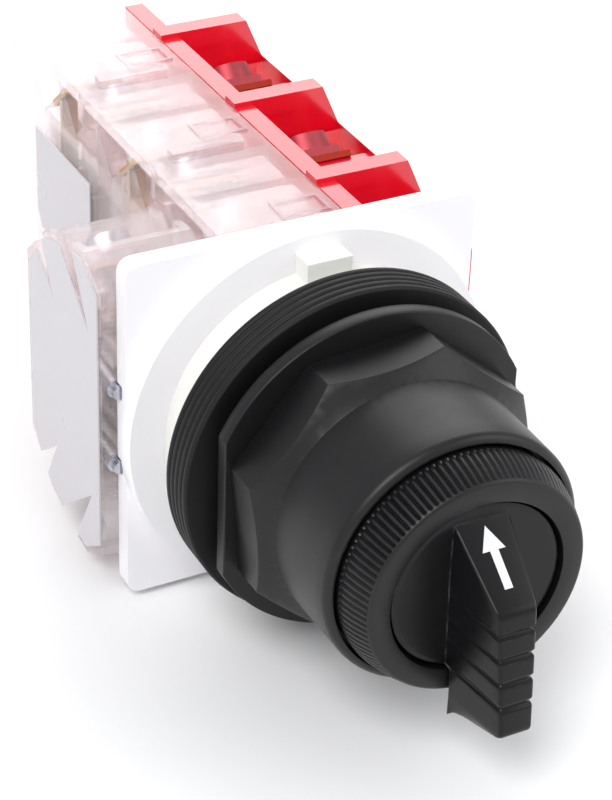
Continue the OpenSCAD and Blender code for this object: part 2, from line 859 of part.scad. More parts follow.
// Slotted screw with its square clamp plate
module terminal_screws(c) {
    clamp_t = 1;
    color([0.78, 0.79, 0.82])
        for (n = [1:ROWS[c]], i = [0, 1], up = [true, false])
            at_block(c, n)
                at_terminal(i, up)
                    difference() {
                        union() {
                            translate([0, 0, -2.6])
                                cylinder(h = 3, r = terminal_screw_d / 2);
                            block_box([-3.1, 3.1], [-3.1, 3.1], [strip_t, strip_t + clamp_t]);
                            translate([0, 0, strip_t + clamp_t - EPS])
                                cylinder(h = head_h, r1 = head_d / 2, r2 = head_d / 2 - 0.3);
                            cylinder(h = strip_t + EPS, r = terminal_screw_d / 2);
                        }
                        block_box([-4, 4], [-0.45, 0.45],
                                  [strip_t + clamp_t + head_h - 1, strip_t + clamp_t + head_h + 1]);
                    }
}

module plunger() {
    play = 0.1;
    difference() {
        union() {
            block_box([-plunger_half, plunger_half], [plunger_front, plunger_rear],
                      [-room_half + 0.5, room_half - 0.4]);
            translate([0, 0, plunger_z])
                disc(-stem_out + stem_d / 2, block_d - stem_out, stem_d / 2);
            translate([0, -stem_out + stem_d / 2, plunger_z])
                sphere(stem_d / 2);
        }
        for (y = [bar_front_y, bar_rear_y])
            block_box([-plunger_half - 1, plunger_half + 1], [y, y + strip_t],
                      [-bar_w / 2 - play, bar_w / 2 + play]);
    }
}

module contact_bars(c) {
    color([0.82, 0.66, 0.36])
        for (n = [1:ROWS[c]], y = [bar_front_y, bar_rear_y])
            at_block(c, n)
                block_box([-inner_half + 0.15, inner_half - 0.15], [y, y + strip_t],
                          [-bar_w / 2, bar_w / 2]);
}

module return_springs(c) {
    color([0.7, 0.71, 0.73])
        for (n = [1:ROWS[c]])
            at_block(c, n)
                translate([0, plunger_rear, -2.4])
                    rotate([-90, 0, 0])
                        coil(1.6, block_d - end_wall - plunger_rear, 5, wire_d);
}

// A screw of one block: its tip is held in the head of the screw in front.
// A free tapped hole has its core size, and one in use opens towards the tip that it holds
module block_screw(free) {
    tip = 1;
    head_t = 1.4;
    difference() {
        union() {
            disc(-tip, 0.5, tap_d / 2);
            disc(0.05, block_d - head_t, block_screw_d / 2);
            disc(block_d - head_t - EPS, block_d, block_head_d / 2);
        }
        disc(block_d - tap_depth, block_d + 1, tap_d / 2 + (free ? 0 : tip_clear / 2),
             tap_d / 2 + (free ? 0 : 2 * tip_clear));
        disc(block_d - tap_depth - drill_point, block_d, drill_r);
    }
}

module block_screws() {
    color([0.74, 0.75, 0.78])
        for (c = [0:2], n = [1:ROWS[c]])
            block_screw_places(c)
                translate([0, row_y(n), 0])
                    block_screw(n == ROWS[c]);
}

// Blank label on the outer side of the left block, cut to the outline of its shrouds
module label_left() {
    color([0.94, 0.94, 0.93])
        at_block(0, 1)
            across(wide_x, wide_x + label_t) {
                shroud_outline(0.9);
                mirror([0, 1])
                    shroud_outline(0.9);
            }
}

// Blank label on the narrow side of the rear middle block
module label_rear() {
    color([0.94, 0.94, 0.93])
        at_block(1, ROWS[1])
            across(-narrow_half - label_t, -narrow_half)
                polygon([[2.5, -6], [6, -9.5], [19.5, -9.5], [20.8, -7], [20.8, 5], [2.5, 5]]);
}

function shell_colour(c) = c == 2 ? [0.85, 0.1, 0.18] : [0.9, 0.87, 0.87, 0.5];
function shell_top(c) = ["stepped", "lid", "red"][c];

knob_lever();
shaft();
cam();
cam_screw();
detent_wheel();
detent_ball();
detent_spring();
shaft_seal();
bezel_ring();
ring_nut();
trim_washer();
threaded_barrel();
rear_bush();
spacer_ring();
base_plate();
rear_cover();
cover_screws();
for (n = [1:gasket_n])
    gasket(n);
for (c = [0:2], n = [1:ROWS[c]]) {
    color(shell_colour(c)) at_block(c, n) housing(shell_top(c));
    color([0.25, 0.25, 0.27]) at_block(c, n) plunger();
}
for (c = [0:2]) {
    contact_bars(c);
    return_springs(c);
    terminals(c);
    terminal_screws(c);
}
block_screws();
label_left();
label_rear();
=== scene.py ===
"""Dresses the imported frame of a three-position selector switch: the finishes, the lever with its arrow,
the knurled bezel, a pale stage and the camera. Metres, in the row frame: -Y points at the user."""

import math

import bmesh
import bpy
from bpy.props import FloatProperty, FloatVectorProperty, IntProperty, PointerProperty
from mathutils import Matrix, Vector


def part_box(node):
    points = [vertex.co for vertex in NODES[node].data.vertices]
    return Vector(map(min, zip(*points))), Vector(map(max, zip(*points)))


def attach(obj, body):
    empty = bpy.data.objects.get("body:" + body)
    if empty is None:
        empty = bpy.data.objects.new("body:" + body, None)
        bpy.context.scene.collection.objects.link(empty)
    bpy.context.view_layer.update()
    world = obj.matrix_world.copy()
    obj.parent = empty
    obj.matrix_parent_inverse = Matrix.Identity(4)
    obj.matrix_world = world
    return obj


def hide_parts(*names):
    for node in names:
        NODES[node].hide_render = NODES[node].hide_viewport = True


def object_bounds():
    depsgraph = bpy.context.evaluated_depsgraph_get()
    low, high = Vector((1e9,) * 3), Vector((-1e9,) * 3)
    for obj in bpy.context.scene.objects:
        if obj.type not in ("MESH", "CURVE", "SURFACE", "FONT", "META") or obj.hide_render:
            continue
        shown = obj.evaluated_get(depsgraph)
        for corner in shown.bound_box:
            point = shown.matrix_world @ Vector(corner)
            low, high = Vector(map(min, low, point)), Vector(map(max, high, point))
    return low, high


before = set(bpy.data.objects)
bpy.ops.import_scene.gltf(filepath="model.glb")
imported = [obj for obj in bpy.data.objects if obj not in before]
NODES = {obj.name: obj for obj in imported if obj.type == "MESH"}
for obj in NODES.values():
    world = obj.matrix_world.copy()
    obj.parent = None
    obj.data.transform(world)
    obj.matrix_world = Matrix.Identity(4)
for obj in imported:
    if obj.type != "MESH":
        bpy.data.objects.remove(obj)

bl_info = {
    "name": "Selector switch",
    "version": (1, 0, 0),
    "blender": (4, 5, 0),
    "location": "3D View > Sidebar > Switch",
    "description": "Builds a panel-mounted selector switch with its contact blocks",
    "category": "Object",
}

MM = 0.001
CAD_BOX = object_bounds()
ROWS = {"left": 1, "middle": 3, "right": 3}
HOUSINGS = [f"housing_{side}_{n + 1}" for side, rows in ROWS.items() for n in range(rows)]
PLUNGERS = [f"plunger_{side}_{n + 1}" for side, rows in ROWS.items() for n in range(rows)]


def node_box(node):
    """Lowest and highest corner of a CAD node, as vectors."""
    low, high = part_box(node)
    return Vector(low), Vector(high)


LEVER_LOW, LEVER_HIGH = node_box("knob_lever")
BEZEL_LOW, BEZEL_HIGH = node_box("bezel_ring")
NUT_FRONT = node_box("ring_nut")[0].y


def shade(red, green, blue):
    """A colour seen on a screen, 0 to 255, as linear values."""
    shares = [level / 255 for level in (red, green, blue)]
    return tuple(((s + 0.055) / 1.055) ** 2.4 if s > 0.04045 else s / 12.92 for s in shares)


class SwitchSizes(bpy.types.PropertyGroup):
    """Sizes of the pieces that this script makes."""

    lever_base: FloatProperty(
        name="Lever width at the disc", description="Width of the lever where it leaves the disc",
        default=6.6 * MM, min=4 * MM, max=9 * MM, unit="LENGTH")
    lever_ridge: FloatProperty(
        name="Lever width at the ridge", description="Width of the lever where its ramp meets its front",
        default=4.7 * MM, min=3 * MM, max=7 * MM, unit="LENGTH")
    lever_tip: FloatProperty(
        name="Lever width at the tip", description="Width of the lever at its lower front edge",
        default=3.9 * MM, min=3 * MM, max=6 * MM, unit="LENGTH")
    lever_round: FloatProperty(
        name="Lever edge radius", description="Rounding of the lever's edges",
        default=0.45 * MM, min=0.1 * MM, max=1 * MM, unit="LENGTH")
    groove_count: IntProperty(
        name="Grip grooves", description="Number of grooves across the lever's front",
        default=4, min=1, max=4)
    groove_depth: FloatProperty(
        name="Groove depth", description="Depth of a grip groove",
        default=0.42 * MM, min=0.1 * MM, max=1 * MM, unit="LENGTH")
    arrow_length: FloatProperty(
        name="Arrow length", description="Length of the pale arrow on the ramp",
        default=6.9 * MM, min=4 * MM, max=8 * MM, unit="LENGTH")
    arrow_width: FloatProperty(
        name="Arrow width", description="Width of the arrow's head",
        default=2.7 * MM, min=1 * MM, max=4 * MM, unit="LENGTH")
    knurl_ribs: IntProperty(
        name="Knurl ribs", description="Number of fine ribs around the bezel", default=108, min=40, max=160)
    knurl_depth: FloatProperty(
        name="Knurl depth", description="Depth between two ribs of the bezel",
        default=0.32 * MM, min=0.1 * MM, max=0.6 * MM, unit="LENGTH")


class SwitchColours(bpy.types.PropertyGroup):
    """Colours of the finishes."""

    black: FloatVectorProperty(
        name="Black plastic", description="Operator, ring nut and bezel", subtype="COLOR", size=3,
        default=shade(14, 14, 16), min=0, max=1)
    rubber: FloatVectorProperty(
        name="Black rubber", description="Gaskets", subtype="COLOR", size=3,
        default=shade(14, 14, 15), min=0, max=1)
    white: FloatVectorProperty(
        name="White plastic", description="Base plate and its cover", subtype="COLOR", size=3,
        default=shade(244, 242, 245), min=0, max=1)
    ivory: FloatVectorProperty(
        name="Ivory plastic", description="Spacer ring", subtype="COLOR", size=3,
        default=shade(242, 241, 236), min=0, max=1)
    clear: FloatVectorProperty(
        name="Clear plastic", description="Clear contact blocks", subtype="COLOR", size=3,
        default=shade(254, 252, 252), min=0, max=1)
    red: FloatVectorProperty(
        name="Red plastic", description="Red contact blocks", subtype="COLOR", size=3,
        default=shade(236, 16, 46), min=0, max=1)
    arrow: FloatVectorProperty(
        name="Arrow paint", description="Arrow on the lever", subtype="COLOR", size=3,
        default=shade(232, 233, 238), min=0, max=1)
    nickel: FloatVectorProperty(
        name="Nickel", description="Terminal screws", subtype="COLOR", size=3,
        default=shade(214, 216, 224), min=0, max=1)
    brass: FloatVectorProperty(
        name="Brass", description="Terminal strips and contact bars", subtype="COLOR", size=3,
        default=shade(206, 168, 96), min=0, max=1)


class ViewSettings(bpy.types.PropertyGroup):
    """Where the camera stands."""

    place: FloatVectorProperty(
        name="Camera place", description="Where the camera stands", subtype="XYZ", unit="LENGTH", size=3,
        default=(-0.11301, -0.19675, 0.15277))
    azimuth: FloatProperty(
        name="Azimuth", description="Turn of the view from straight ahead, in degrees", default=28.414)
    elevation: FloatProperty(
        name="Elevation", description="How far the view looks down, in degrees", default=32.724)
    roll: FloatProperty(name="Roll", description="Turn of the picture, in degrees", default=2.191)
    focal_pixels: FloatProperty(
        name="Focal length in pixels", description="Focal length on the 612 by 800 frame", default=2456.0)


# Shader helpers
def new_group(name, inputs, outputs):
    """An empty shader group with its sockets; each is (name, socket type, default)."""
    group = bpy.data.node_groups.new(name, "ShaderNodeTree")
    for label, kind, value in inputs:
        made = group.interface.new_socket(name=label, in_out="INPUT", socket_type=kind)
        if value is not None:
            made.default_value = value
    for label, kind in outputs:
        group.interface.new_socket(name=label, in_out="OUTPUT", socket_type=kind)
    return group, group.nodes.new("NodeGroupInput"), group.nodes.new("NodeGroupOutput")


def math_node(tree, operation, *values):
    """A Math node fed by numbers or sockets; returns its output."""
    node = tree.nodes.new("ShaderNodeMath")
    node.operation = operation
    for place, value in enumerate(values):
        if isinstance(value, (int, float)):
            node.inputs[place].default_value = value
        else:
            tree.links.new(value, node.inputs[place])
    return node.outputs[0]


def mix_colour(tree, factor, first, second):
    """A Mix node for colours; returns its output."""
    node = tree.nodes.new("ShaderNodeMix")
    node.data_type = "RGBA"
    for place, value in ((0, factor), (6, first), (7, second)):
        if isinstance(value, (int, float)):
            node.inputs[place].default_value = value
        elif isinstance(value, tuple):
            node.inputs[place].default_value = (*value, 1)
        else:
            tree.links.new(value, node.inputs[place])
    return node.outputs[2]


def noise(tree, vector, scale, detail=4.0, roughness=0.5):
    """A Noise node on the given coordinates; returns its value."""
    node = tree.nodes.new("ShaderNodeTexNoise")
    node.inputs["Scale"].default_value = scale
    node.inputs["Detail"].default_value = detail
    node.inputs["Roughness"].default_value = roughness
    tree.links.new(vector, node.inputs["Vector"])
    return node.outputs["Fac"]


def ramp(tree, value, low, high):
    """Value stretched so that low becomes 0 and high 1, clamped."""
    node = tree.nodes.new("ShaderNodeMapRange")
    node.inputs["From Min"].default_value = low
    node.inputs["From Max"].default_value = high
    tree.links.new(value, node.inputs["Value"])
    return node.outputs["Result"]


def edge_wear_and_light_group():
    """Mask of the outer edges, broken up by noise: rubbed edges, and painted light where edge glints and
    refraction lines fall. Inputs: Radius, Amount. Output: Mask.
    """
    group, given, result = new_group(
        "Edge wear", [("Radius", "NodeSocketFloat", 0.3 * MM), ("Amount", "NodeSocketFloat", 1.0)],
        [("Mask", "NodeSocketFloat")])
    bevel = group.nodes.new("ShaderNodeBevel")
    bevel.samples = 4
    group.links.new(given.outputs["Radius"], bevel.inputs["Radius"])
    face = group.nodes.new("ShaderNodeNewGeometry")
    dot = group.nodes.new("ShaderNodeVectorMath")
    dot.operation = "DOT_PRODUCT"
    group.links.new(bevel.outputs["Normal"], dot.inputs[0])
    group.links.new(face.outputs["Normal"], dot.inputs[1])
    sharp = math_node(group, "SUBTRACT", 1.0, dot.outputs["Value"])
    place = group.nodes.new("ShaderNodeTexCoord").outputs["Object"]
    broken = ramp(group, noise(group, place, 900, 3), 0.35, 0.7)
    mask = math_node(group, "MULTIPLY", ramp(group, sharp, 0.02, 0.25), broken)
    group.links.new(math_node(group, "MULTIPLY", mask, given.outputs["Amount"]), result.inputs["Mask"])
    return group


def moulded_grain_group():
    """Fine moulded grain, faint flow marks and handling dust. Outputs: Height, Rough, Dust."""
    group, given, result = new_group(
        "Moulded grain", [("Grain", "NodeSocketFloat", 4500.0), ("Dust", "NodeSocketFloat", 0.3)],
        [("Height", "NodeSocketFloat"), ("Rough", "NodeSocketFloat"), ("Dust", "NodeSocketFloat")])
    place = group.nodes.new("ShaderNodeTexCoord").outputs["Object"]
    fine = group.nodes.new("ShaderNodeTexNoise")
    fine.inputs["Detail"].default_value = 3
    group.links.new(place, fine.inputs["Vector"])
    group.links.new(given.outputs["Grain"], fine.inputs["Scale"])
    cloud = noise(group, place, 130, 5, 0.6)
    height = math_node(group, "ADD", math_node(group, "MULTIPLY", fine.outputs["Fac"], 0.8),
                       math_node(group, "MULTIPLY", cloud, 0.2))
    group.links.new(height, result.inputs["Height"])
    group.links.new(math_node(group, "MULTIPLY_ADD", cloud, 0.16, -0.08), result.inputs["Rough"])
    patches = ramp(group, noise(group, place, 60, 6, 0.7), 0.52, 0.8)
    specks = ramp(group, noise(group, place, 2600, 2), 0.66, 0.8)
    dust = math_node(group, "ADD", math_node(group, "MULTIPLY", patches, 0.5),
                     math_node(group, "MULTIPLY", specks, 0.6))
    group.links.new(math_node(group, "MULTIPLY", dust, given.outputs["Dust"]), result.inputs["Dust"])
    return group


def scratch_group():
    """Fine brushed or turned lines along one axis. Input: Stretch. Outputs: Lines."""
    group, given, result = new_group(
        "Fine scratches", [("Stretch", "NodeSocketVector", (1.0, 1.0, 1.0))],
        [("Lines", "NodeSocketFloat")])
    place = group.nodes.new("ShaderNodeTexCoord").outputs["Object"]
    scaled = group.nodes.new("ShaderNodeVectorMath")
    scaled.operation = "MULTIPLY"
    group.links.new(place, scaled.inputs[0])
    group.links.new(given.outputs["Stretch"], scaled.inputs[1])
    group.links.new(noise(group, scaled.outputs[0], 1.0, 5, 0.65), result.inputs["Lines"])
    return group


def use_group(material, group):
    """A group node in the material that uses a shared node group."""
    node = material.node_tree.nodes.new("ShaderNodeGroup")
    node.node_tree = group
    return node


def new_material(name):
    """A material with its Principled shader; returns (material, tree, shader)."""
    material = bpy.data.materials.new(name)
    material.use_nodes = True
    return material, material.node_tree, material.node_tree.nodes["Principled BSDF"]


def add_bump(tree, shader, height, distance, strength=1.0):
    """Bumps the shader's surface by a height; distance is in metres."""
    bump = tree.nodes.new("ShaderNodeBump")
    bump.inputs["Distance"].default_value = distance
    bump.inputs["Strength"].default_value = strength
    tree.links.new(height, bump.inputs["Height"])
    tree.links.new(bump.outputs["Normal"], shader.inputs["Normal"])


def moulded_plastic(name, colour, dust_wear_and_glint_colour, roughness, grain=4500.0, grain_depth=0.012 * MM, dust=0.3,
                    edge_wear_and_painted_light=0.5, gloss=0.5):
    """Satin moulded plastic: grain, a little dust and paler edges; on the black plastics the pale edge is
    partly rubbing and partly a painted glint.
    """
    material, tree, shader = new_material(name)
    surface = use_group(material, GROUPS["grain"])
    surface.inputs["Grain"].default_value = grain
    surface.inputs["Dust"].default_value = dust
    edges = use_group(material, GROUPS["edge_wear_and_painted_light"])
    edges.inputs["Amount"].default_value = edge_wear_and_painted_light
    dusty = mix_colour(tree, surface.outputs["Dust"], colour, dust_wear_and_glint_colour)
    # Edge colour from the mask: rubbed edges, and on black plastic also a painted glint
    tree.links.new(mix_colour(tree, edges.outputs["Mask"], dusty, dust_wear_and_glint_colour), shader.inputs["Base Color"])
    rough = math_node(tree, "ADD", surface.outputs["Rough"], roughness)
    tree.links.new(rough, shader.inputs["Roughness"])
    shader.inputs["Specular IOR Level"].default_value = gloss
    add_bump(tree, shader, surface.outputs["Height"], grain_depth)
    return material


def rubber(name, colour):
    """Matte rubber with a soft powdery bloom."""
    return moulded_plastic(name, colour, dust_wear_and_glint_colour=shade(58, 57, 60), roughness=0.55, grain=3000.0,
                           grain_depth=0.02 * MM, gloss=0.3)


def polycarbonate(name, colour, shadow, transmission, roughness, see_through, coat, edge_painted_shade_factor):
    """Tinted or clear moulding with painted shade on its edges, standing in for the dark lines that
    refraction draws there. Shadow rays pass through it, tinted.
    """
    material, tree, shader = new_material(name)
    edges = use_group(material, GROUPS["edge_wear_and_painted_light"])
    edges.inputs["Radius"].default_value = 0.45 * MM
    # Painted shade: the edges are darkened in the colour, standing in for the dark lines of refraction
    painted_edge_shade_tone = tuple(c * edge_painted_shade_factor for c in colour)
    tree.links.new(mix_colour(tree, edges.outputs["Mask"], colour, painted_edge_shade_tone), shader.inputs["Base Color"])
    shader.inputs["Transmission Weight"].default_value = transmission
    shader.inputs["IOR"].default_value = 1.4
    shader.inputs["Coat Weight"].default_value = coat
    shader.inputs["Coat Roughness"].default_value = 0.12
    surface = use_group(material, GROUPS["grain"])
    surface.inputs["Grain"].default_value = 700.0
    rough = math_node(tree, "ADD", surface.outputs["Rough"], roughness)
    tree.links.new(rough, shader.inputs["Roughness"])
    add_bump(tree, shader, surface.outputs["Height"], 0.05 * MM, 0.35)
    clear = tree.nodes.new("ShaderNodeBsdfTransparent")
    clear.inputs["Color"].default_value = (*shadow, 1)
    light = tree.nodes.new("ShaderNodeLightPath")
    amount = math_node(tree, "MAXIMUM", light.outputs["Is Shadow Ray"], see_through)
    both = tree.nodes.new("ShaderNodeMixShader")
    tree.links.new(amount, both.inputs[0])
    tree.links.new(shader.outputs[0], both.inputs[1])
    tree.links.new(clear.outputs[0], both.inputs[2])
    tree.links.new(both.outputs[0], tree.nodes["Material Output"].inputs["Surface"])
    return material


def metal(name, colour, roughness, stretch, line_depth):
    """Plated or drawn metal with fine lines; stretch is their frequency along X, Y and Z."""
    material, tree, shader = new_material(name)
    shader.inputs["Metallic"].default_value = 1.0
    lines = use_group(material, GROUPS["scratch"])
    lines.inputs["Stretch"].default_value = stretch
    darker = tuple(c * 0.78 for c in colour)
    tone = mix_colour(tree, ramp(tree, lines.outputs["Lines"], 0.3, 0.75), darker, colour)
    tree.links.new(tone, shader.inputs["Base Color"])
    rough = math_node(tree, "MULTIPLY_ADD", lines.outputs["Lines"], 0.25, roughness - 0.12)
    tree.links.new(rough, shader.inputs["Roughness"])
    add_bump(tree, shader, lines.outputs["Lines"], line_depth)
    return material


GROUPS = {}
FINISHES = {}


def make_finishes(colours):
    """Every finish, by the name that dress_node and finish_mesh ask for."""
    GROUPS["edge_wear_and_painted_light"] = edge_wear_and_light_group()
    GROUPS["grain"] = moulded_grain_group()
    GROUPS["scratch"] = scratch_group()
    make_plastics(colours)
    make_metals(colours)


def make_plastics(colours):
    """The opaque, clear and painted finishes."""
    satin = {"grain": 5200.0, "grain_depth": 0.006 * MM}
    # The pale edges of the two black finishes are partly rubbing and partly a painted glint
    FINISHES["black_plastic"] = moulded_plastic(
        "Black moulded plastic", tuple(colours.black), dust_wear_and_glint_colour=shade(70, 70, 74), roughness=0.40,
        grain=5200.0, grain_depth=0.010 * MM, dust=0.12, edge_wear_and_painted_light=0.5, gloss=0.4)
    FINISHES["lever_black"] = moulded_plastic(
        "Lever plastic", tuple(colours.black), dust_wear_and_glint_colour=shade(96, 96, 102), roughness=0.3,
        dust=0.06, edge_wear_and_painted_light=0.7, gloss=0.26, **satin)
    FINISHES["black_rubber"] = rubber("Gasket rubber", tuple(colours.rubber))
    FINISHES["white_plastic"] = moulded_plastic(
        "White moulded plastic", tuple(colours.white), dust_wear_and_glint_colour=shade(247, 247, 247), roughness=0.42,
        dust=0.1, edge_wear_and_painted_light=0.2, **satin)
    FINISHES["ivory_plastic"] = moulded_plastic(
        "Ivory plastic", tuple(colours.ivory), dust_wear_and_glint_colour=shade(240, 236, 222), roughness=0.38,
        dust=0.1, edge_wear_and_painted_light=0.2, **satin)
    FINISHES["clear_plastic"] = polycarbonate(
        "Clear polycarbonate", tuple(colours.clear), shadow=shade(252, 246, 247), transmission=0.7,
        roughness=0.03, see_through=0.55, coat=0.6, edge_painted_shade_factor=0.35)
    FINISHES["red_plastic"] = polycarbonate(
        "Red polycarbonate", tuple(colours.red), shadow=shade(248, 110, 128), transmission=0.3,
        roughness=0.22, see_through=0.0, coat=1.0, edge_painted_shade_factor=0.8)
    FINISHES["plunger_plastic"] = moulded_plastic(
        "Plunger plastic", shade(236, 230, 229), dust_wear_and_glint_colour=shade(246, 244, 243), roughness=0.45)
    FINISHES["label"] = moulded_plastic(
        "Label film", shade(202, 198, 202), dust_wear_and_glint_colour=shade(194, 191, 194), roughness=0.3,
        grain=2200.0, grain_depth=0.004 * MM, dust=0.12, edge_wear_and_painted_light=0.0)
    FINISHES["arrow"] = moulded_plastic(
        "Arrow paint", tuple(colours.arrow), dust_wear_and_glint_colour=shade(160, 162, 170), roughness=0.5,
        grain=6000.0, grain_depth=0.01 * MM, dust=0.25, edge_wear_and_painted_light=0.4)


def make_metals(colours):
    """The metals. In the red pockets they are dull, and their colour is tinted red as a painted reflection
    of the pocket walls.
    """
    drawn_along_x = (90.0, 700.0, 700.0)
    drawn_along_y = (700.0, 90.0, 700.0)
    drawn_along_z = (900.0, 900.0, 90.0)
    for slot, name, colour, roughness, stretch, line_depth in (
            ("nickel_screw", "Nickel plate", tuple(colours.nickel), 0.24, drawn_along_z, 0.003 * MM),
            ("zinc", "Zinc plate", shade(178, 181, 186), 0.36, drawn_along_y, 0.004 * MM),
            ("steel", "Polished steel", shade(205, 206, 210), 0.15, (300.0,) * 3, 0.001 * MM),
            ("spring_steel", "Spring wire", shade(160, 162, 166), 0.3, (400.0,) * 3, 0.002 * MM),
            ("brass", "Brass strip", tuple(colours.brass), 0.38, drawn_along_x, 0.003 * MM),
            # Painted red reflection of the red pocket walls, tinting these two metals
            ("dull_brass_painted_red_reflection", "Dull brass strip with painted red reflection", shade(176, 62, 48), 0.5, drawn_along_x, 0.003 * MM),
            ("dull_steel_painted_red_reflection", "Dull steel with painted red reflection", shade(190, 84, 92), 0.5, drawn_along_z, 0.003 * MM)):
        FINISHES[slot] = metal(name, colour, roughness, stretch, line_depth)


# Mesh helpers
def finish_mesh(mesh, name, finish):
    """An object at the origin from a mesh, with its finish and smoothed normals."""
    piece = bpy.data.objects.new(name, mesh)
    bpy.context.scene.collection.objects.link(piece)
    mesh.materials.clear()
    mesh.materials.append(FINISHES[finish])
    mesh.shade_smooth()
    mesh.set_sharp_from_angle(angle=math.radians(35))
    return piece


def mesh_from_bmesh(work, name):
    """A mesh from the bmesh, with its faces turned outwards; the bmesh is freed."""
    bmesh.ops.recalc_face_normals(work, faces=work.faces)
    mesh = bpy.data.meshes.new(name)
    work.to_mesh(mesh)
    work.free()
    return mesh


def join_rings(work, rings, closing=False):
    """Joins rings of as many points each into one skin; closing joins the last ring to the first."""
    rows = [[work.verts.new(point) for point in ring] for ring in rings]
    count = len(rows[0])
    following = rows[1:] + rows[:1] if closing else rows[1:]
    for first, second in zip(rows, following):
        for k in range(count):
            work.faces.new((first[k], first[(k + 1) % count], second[(k + 1) % count], second[k]))
    return rows


def loft(work, rings):
    """A solid through the rings, with a face at both ends."""
    rows = join_rings(work, rings)
    work.faces.new(reversed(rows[0]))
    work.faces.new(rows[-1])


def turned(work, profile, steps, cut=lambda k: 0.0):
    """Spins (y, radius, depth share) points round the turning axis; cut gives a depth at each step."""
    rings = []
    for y, radius, share in profile:
        ring = []
        for k in range(steps):
            turn, r = math.tau * k / steps, radius - share * cut(k)
            ring.append((r * math.cos(turn), y, r * math.sin(turn)))
        rings.append(ring)
    join_rings(work, rings, closing=True)


def dress_node(node, finish, edge=0.0):
    """Gives a CAD node its finish, and rounds its edges if edge is over zero."""
    piece = NODES[node]
    piece.data.materials.clear()
    piece.data.materials.append(FINISHES[finish])
    if edge > 0:
        weld = piece.modifiers.new("Joined corners", "WELD")
        weld.merge_threshold = 0.002 * MM
        bevel = piece.modifiers.new("Rounded edges", "BEVEL")
        bevel.width = edge
        bevel.segments = 2
        bevel.limit_method = "ANGLE"
        bevel.angle_limit = math.radians(32)
        bevel.use_clamp_overlap = True
        bevel.harden_normals = True


# Operators
class SWITCH_OT_finishes(bpy.types.Operator):
    """Make the finishes"""

    bl_idname = "switch.finishes"
    bl_label = "Finishes"

    def execute(self, context):
        make_finishes(context.scene.switch_colours)
        return {"FINISHED"}


class SWITCH_OT_camera(bpy.types.Operator):
    """Stand the camera where the photograph was taken from"""

    bl_idname = "switch.camera"
    bl_label = "Camera"

    def execute(self, context):
        view = context.scene.switch_view
        picture_w, picture_h = 612, 800
        film = 36.0
        data = bpy.data.cameras.new("Camera")
        data.sensor_width = film
        data.lens = view.focal_pixels * film / picture_h
        data.clip_start = 0.01
        data.clip_end = 20
        camera = bpy.data.objects.new("Camera", data)
        context.scene.collection.objects.link(camera)
        turn, down, roll = (math.radians(v) for v in (view.azimuth, view.elevation, view.roll))
        ahead = Vector((math.sin(turn) * math.cos(down), math.cos(turn) * math.cos(down), -math.sin(down)))
        right = Vector((math.cos(turn), -math.sin(turn), 0))
        above = right.cross(ahead)
        right_rolled = math.cos(roll) * right + math.sin(roll) * above
        above_rolled = -math.sin(roll) * right + math.cos(roll) * above
        turned_to = Matrix((right_rolled, above_rolled, -ahead)).transposed().to_4x4()
        camera.matrix_world = Matrix.Translation(Vector(view.place)) @ turned_to
        context.scene.camera = camera
        return {"FINISHED"}


class SWITCH_OT_stage(bpy.types.Operator):
    """Lay the pale floor and set the soft lamps"""

    bl_idname = "switch.stage"
    bl_label = "Stage"

    def execute(self, context):
        scene = context.scene
        scene.view_settings.view_transform = "Standard"
        self.world(scene)
        self.floor(scene)
        for name, place, size, watts, target in (
                ("Key lamp", (-0.9, -0.7, 1.5), 1.0, 19.0, (0, 0, 0)),
                ("Fill lamp", (1.3, -0.9, 0.9), 1.3, 7.5, (0, 0, 0)),
                ("Rear lamp", (0.75, 1.4, 1.15), 1.7, 13.0, (0, 0.04, 0))):
            self.lamp(scene, name, Vector(place), size, watts, Vector(target))
        return {"FINISHED"}

    def lamp(self, scene, name, place, size, watts, target):
        """A round soft lamp that faces its target."""
        data = bpy.data.lights.new(name, "AREA")
        data.shape = "DISK"
        data.size = size
        data.energy = watts
        lamp = bpy.data.objects.new(name, data)
        turned_to = (place - target).to_track_quat("Z", "Y").to_matrix().to_4x4()
        lamp.matrix_world = Matrix.Translation(place) @ turned_to
        scene.collection.objects.link(lamp)

    def world(self, scene):
        """A soft grey room that is white to the camera and through clear plastic."""
        world = bpy.data.worlds.new("Room")
        scene.world = world
        world.use_nodes = True
        tree = world.node_tree
        tree.nodes.clear()
        light = tree.nodes.new("ShaderNodeLightPath")
        through = light.outputs["Is Transmission Ray"]
        seen = math_node(tree, "MAXIMUM", light.outputs["Is Camera Ray"], through)
        soft, white = tree.nodes.new("ShaderNodeBackground"), tree.nodes.new("ShaderNodeBackground")
        soft.inputs["Color"].default_value = (0.97, 0.98, 1, 1)
        soft.inputs["Strength"].default_value = 0.7
        white.inputs["Strength"].default_value = 1.0
        both = tree.nodes.new("ShaderNodeMixShader")
        out = tree.nodes.new("ShaderNodeOutputWorld")
        tree.links.new(seen, both.inputs[0])
        tree.links.new(soft.outputs[0], both.inputs[1])
        tree.links.new(white.outputs[0], both.inputs[2])
        tree.links.new(both.outputs[0], out.inputs["Surface"])

    def floor(self, scene):
        """A pale floor just under the part."""
        half = 1.6
        low = CAD_BOX[0][2] - 0.05 * MM
        mesh = bpy.data.meshes.new("floor")
        mesh.from_pydata([(-half, -half, low), (half, -half, low), (half, half, low), (-half, half, low)],
                         [], [(0, 1, 2, 3)])
        floor = bpy.data.objects.new("floor", mesh)
        scene.collection.objects.link(floor)
        material, tree, shader = new_material("Studio floor")
        shader.inputs["Base Color"].default_value = (0.93, 0.93, 0.935, 1)
        shader.inputs["Roughness"].default_value = 0.6
        mesh.materials.append(material)


